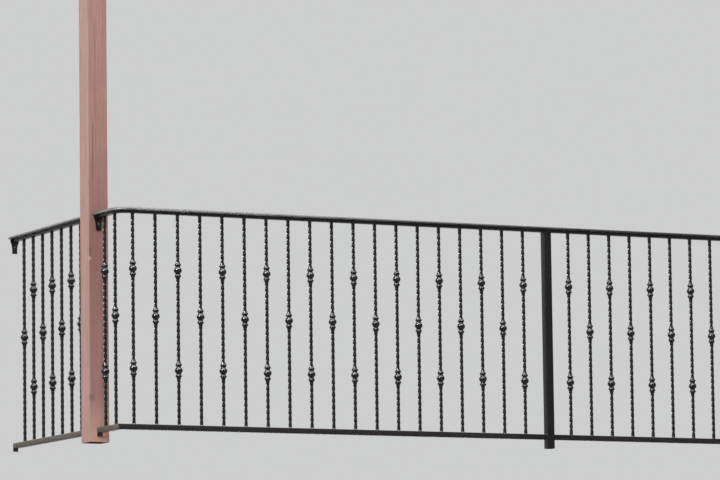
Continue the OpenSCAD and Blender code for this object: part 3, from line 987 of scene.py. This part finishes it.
for number, side in enumerate(SIDES):
    lo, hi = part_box(f"{side}_timber_post")
    centre = (abs(lo.x + hi.x) / 2, (lo.y + hi.y) / 2)
    post = timber_post(centre, lo.z, hi.z, SPLITS[side], 4.0 + 7 * number, side == "left")
    piece(f"weathered_{side}_timber_post", post, TIMBER, "timber", f"{side}_timber_post")


# Lugs and bolts

# The turned profiles of a bolt's washer and hex head: sides, and radius and height of each ring
WASHER = (24, ((0.0078, 0.0), (0.0078, 0.0011), (0.0072, 0.0014)))
HEX_HEAD = (6, ((0.0062, 0.0012), (0.0062, 0.0046), (0.0052, 0.0053)))
BOLT_HEIGHTS = (CHANNEL_Z - TOP_TAB_H / 2, FLOOR_GAP - BOTTOM_TAB_H / 2)

# The pairs of lugs: the plane of their fronts, and the way that their bolt heads face along Y
LUG_PLACES = {"corner_lugs": (TIMBER_Y - LUG_T, -1), "side_post_lugs": (TIMBER_BACK, 1),
              "wall_lugs": (SIDE_L - LUG_T, -1)}


def lug_plates(y, left):
    """A pair of lug plates with eased edges, on the plane y: the top one flares out at its head."""
    flare_out = (FLARE_W - LUG_W) / 2
    flare_r = (flare_out * flare_out + FLARE_H * FLARE_H) / (2 * flare_out)
    flare = arc((LUG_W / 2 + flare_r, CHANNEL_Z - FLARE_H), flare_r,
                180, 180 - degrees(asin(FLARE_H / flare_r)), FLARE_STEPS)
    flared = [(LUG_W / 2, CHANNEL_Z - TOP_TAB_H)] + flare + [(FLARE_W / 2, CAP_Z)]
    straight = [(LUG_W / 2, FLOOR_GAP - BOTTOM_TAB_H), (LUG_W / 2, TUBE_Z)]
    bm = bmesh.new()
    for edge in (flared, straight):
        outline = edge + [(-x, z) for x, z in reversed(edge)]
        loft(bm, [[(BAY_L + x, plane, z) for x, z in outline] for plane in (y, y + LUG_T)])
    bmesh.ops.bevel(bm, geom=bm.edges[:], offset=LUG_EASE_R, segments=2, profile=0.5, affect="EDGES")
    return as_mesh(bm, "lugs", left)


def hex_bolt():
    """A hex head on a round washer, standing on the plane z = 0."""
    bm = bmesh.new()
    for sides, profile in (WASHER, HEX_HEAD):
        loft(bm, [circle(r, z, sides) for r, z in profile])
    return as_mesh(bm, "bolt", crease=BOLT_CREASE)


def bolt_tree():
    """Geometry nodes that set a bolt on every point of the mesh that they are given."""
    tree, given = open_tree("bolts_on_points", {
        "Geometry": ("Geometry", None), "Bolt": ("Object", None), "Lean": ("Float", None),
        "Seed": ("Int", 5), "Paint": ("Material", None)})
    bolt = node(tree, "GeometryNodeObjectInfo", {"Object": given["Bolt"]}).outputs["Geometry"]
    spin = node(tree, "FunctionNodeRandomValue", {
        "Min": (0, 0, 0), "Max": (0, 0, 1), "Seed": given["Seed"]}, data_type="FLOAT_VECTOR").outputs[0]
    lean = node(tree, "ShaderNodeCombineXYZ", {"X": given["Lean"]}).outputs[0]
    turn = node(tree, "ShaderNodeVectorMath", {0: lean, 1: spin}, operation="ADD").outputs[0]
    placed = node(tree, "GeometryNodeInstanceOnPoints", {
        "Points": given["Geometry"], "Instance": bolt, "Rotation": turn}).outputs[0]
    return close_tree(tree, placed, given["Paint"])


def bolt_heads(places, lean, seed):
    """Bolts at these places, their heads turned from +Z by the lean about X."""
    points = bpy.data.meshes.new("bolt_places")
    points.from_pydata(places, [], [])
    values = {"Bolt": BOLT, "Lean": lean, "Seed": seed, "Paint": BOLTS}
    return grown("bolts", BOLT_TREE, values, BOLT_CREASE, points)


BOLT = in_scene("bolt_form", hex_bolt())
BOLT_TREE = bolt_tree()
for side, sign in SIDES.items():
    for seed, (name, (y, faces)) in enumerate(LUG_PLACES.items()):
        piece(f"painted_{side}_{name}", lug_plates(y, side == "left"), PAINT, "iron", f"{side}_{name}")
        face_y = y if faces < 0 else y + LUG_T
        heads = bolt_heads([(sign * BAY_L, face_y, z) for z in BOLT_HEIGHTS], -faces * pi / 2, seed)
        piece(f"{side}_{name}_bolts", heads, BOLTS, "iron")
bpy.data.objects.remove(BOLT)


# Floor, light and camera

FADE_START, FLOOR_R, FLOOR_SIDES = 4.0, 13.0, 96
FLOOR_COLOUR, FLOOR_ROUGHNESS = (0.82, 0.82, 0.81), 0.9
BACKDROP_COLOUR = (0.93, 0.935, 0.94)
WORLD_LIGHT, WORLD_SEEN = 0.31, 0.66

# The lamps: place, target, width, height, brightness, and whether one shows only in reflections
LAMPS = {
    "overhead": ((1.0, -1.6, 8.5), (0.5, 0, 0.5), 6.0, 7.0, 3.2, False),
    "sky_gloss": ((2.2, -5.5, 7.25), (2.2, -2.6, -2.4), 3.4, 15.7, 7.0, True),
    "overhead_gloss": ((-5.0, -2.6, 8.2), (-5.0, -2.6, 0.0), 12.0, 3.0, 38.0, True),
    "left": ((-14.1, -6.4, 8.5), (-1.5, 0, 0.7), 4.0, 4.0, 33.0, False),
    "left_gloss": ((-8.0, -2.6, 4.8), (-1.5, 0, 0.7), 2.0, 2.0, 145.0, True),
    "back": ((-4.5, 9.5, 5.0), (0, 0.6, 0.6), 3.0, 3.0, 8.0, False)}

# The photograph's viewing angle, in degrees: far off to the left, low down and looking up
CAMERA_PLACE = (-11.03416, -19.79645, -1.64596)
CAMERA_YAW, CAMERA_PITCH, CAMERA_ROLL = 26.868, 6.7155, -0.77287
LENS_MM, SENSOR_MM, CLIP_END = 236.335, 36, 400


def pale_floor():
    """A pale floor that fades into the backdrop and lets the low camera see past it from below."""
    bm = bmesh.new()
    bm.faces.new([bm.verts.new(point) for point in circle(FLOOR_R, 0, FLOOR_SIDES)])
    mesh = bpy.data.meshes.new("floor")
    bm.to_mesh(mesh)
    bm.free()
    made = in_scene("floor", mesh)
    paint, tree, shader = finish_material("floor")
    shader.inputs["Base Color"].default_value = (*FLOOR_COLOUR, 1)
    shader.inputs["Roughness"].default_value = FLOOR_ROUGHNESS
    shader.inputs["Specular IOR Level"].default_value = 0.0
    where = node(tree, "ShaderNodeTexCoord").outputs["Object"]
    away = node(tree, "ShaderNodeVectorMath", {0: where}, operation="LENGTH").outputs["Value"]
    faded = between(tree, away, FADE_START, FLOOR_R)
    below = node(tree, "ShaderNodeNewGeometry").outputs["Backfacing"]
    clear = node(tree, "ShaderNodeBsdfTransparent").outputs[0]
    blend = node(tree, "ShaderNodeMixShader", {
        0: calc(tree, "MAXIMUM", below, faded), 1: shader.outputs[0], 2: clear})
    tree.links.new(blend.outputs[0], tree.nodes["Material Output"].inputs["Surface"])
    mesh.materials.append(paint)


def studio_world():
    """A plain pale surround, seen and mirrored brighter than it lights."""
    world = bpy.data.worlds.new("studio")
    bpy.context.scene.world = world
    world.use_nodes = True
    tree = world.node_tree
    rays = node(tree, "ShaderNodeLightPath").outputs
    seen = calc(tree, "MAXIMUM", rays["Is Camera Ray"], rays["Is Glossy Ray"])
    seen = calc(tree, "MAXIMUM", seen, rays["Is Transmission Ray"])
    back = tree.nodes["Background"]
    back.inputs["Color"].default_value = (*BACKDROP_COLOUR, 1)
    tree.links.new(between(tree, seen, 0.0, 1.0, WORLD_LIGHT, WORLD_SEEN), back.inputs["Strength"])


def softbox(name, place, target, width, height, brightness, gloss_only):
    """A rectangular lamp whose power follows from its size and brightness."""
    data = bpy.data.lights.new(name, "AREA")
    data.shape = "RECTANGLE"
    data.size, data.size_y = width, height
    data.energy = brightness * pi * width * height
    made = in_scene(name, data)
    made.location = place
    made.visible_diffuse = not gloss_only
    made.rotation_mode = "QUATERNION"
    made.rotation_quaternion = (Vector(target) - Vector(place)).to_track_quat("-Z", "Y")
    return made


def keep_off_side_panels(lamp):
    """Lets a lamp reach every object but the side panels, which show no glints from it."""
    reached = bpy.data.collections.new("reached_by_" + lamp.name)
    for made in bpy.context.scene.collection.objects:
        if made.type == "MESH" and "_side_" not in made.name:
            reached.objects.link(made)
    lamp.light_linking.receiver_collection = reached


def photo_camera():
    """A camera that looks from the photograph's place and angle."""
    yaw, pitch, roll = radians(CAMERA_YAW), radians(CAMERA_PITCH), radians(CAMERA_ROLL)
    ahead = Vector((sin(yaw) * cos(pitch), cos(yaw) * cos(pitch), sin(pitch)))
    right = Vector((cos(yaw), -sin(yaw), 0))
    up = right.cross(ahead)
    across = cos(roll) * right + sin(roll) * up
    top = -sin(roll) * right + cos(roll) * up
    data = bpy.data.cameras.new("photo_camera")
    data.sensor_width, data.lens, data.clip_end = SENSOR_MM, LENS_MM, CLIP_END
    made = in_scene("photo_camera", data)
    turned = Matrix((across, top, -ahead)).transposed().to_4x4()
    made.matrix_world = Matrix.Translation(CAMERA_PLACE) @ turned
    bpy.context.scene.camera = made


pale_floor()
studio_world()
lamps = {name: softbox(name, *values) for name, values in LAMPS.items()}
keep_off_side_panels(lamps["left_gloss"])
photo_camera()
bpy.context.scene.view_settings.view_transform = "Standard"
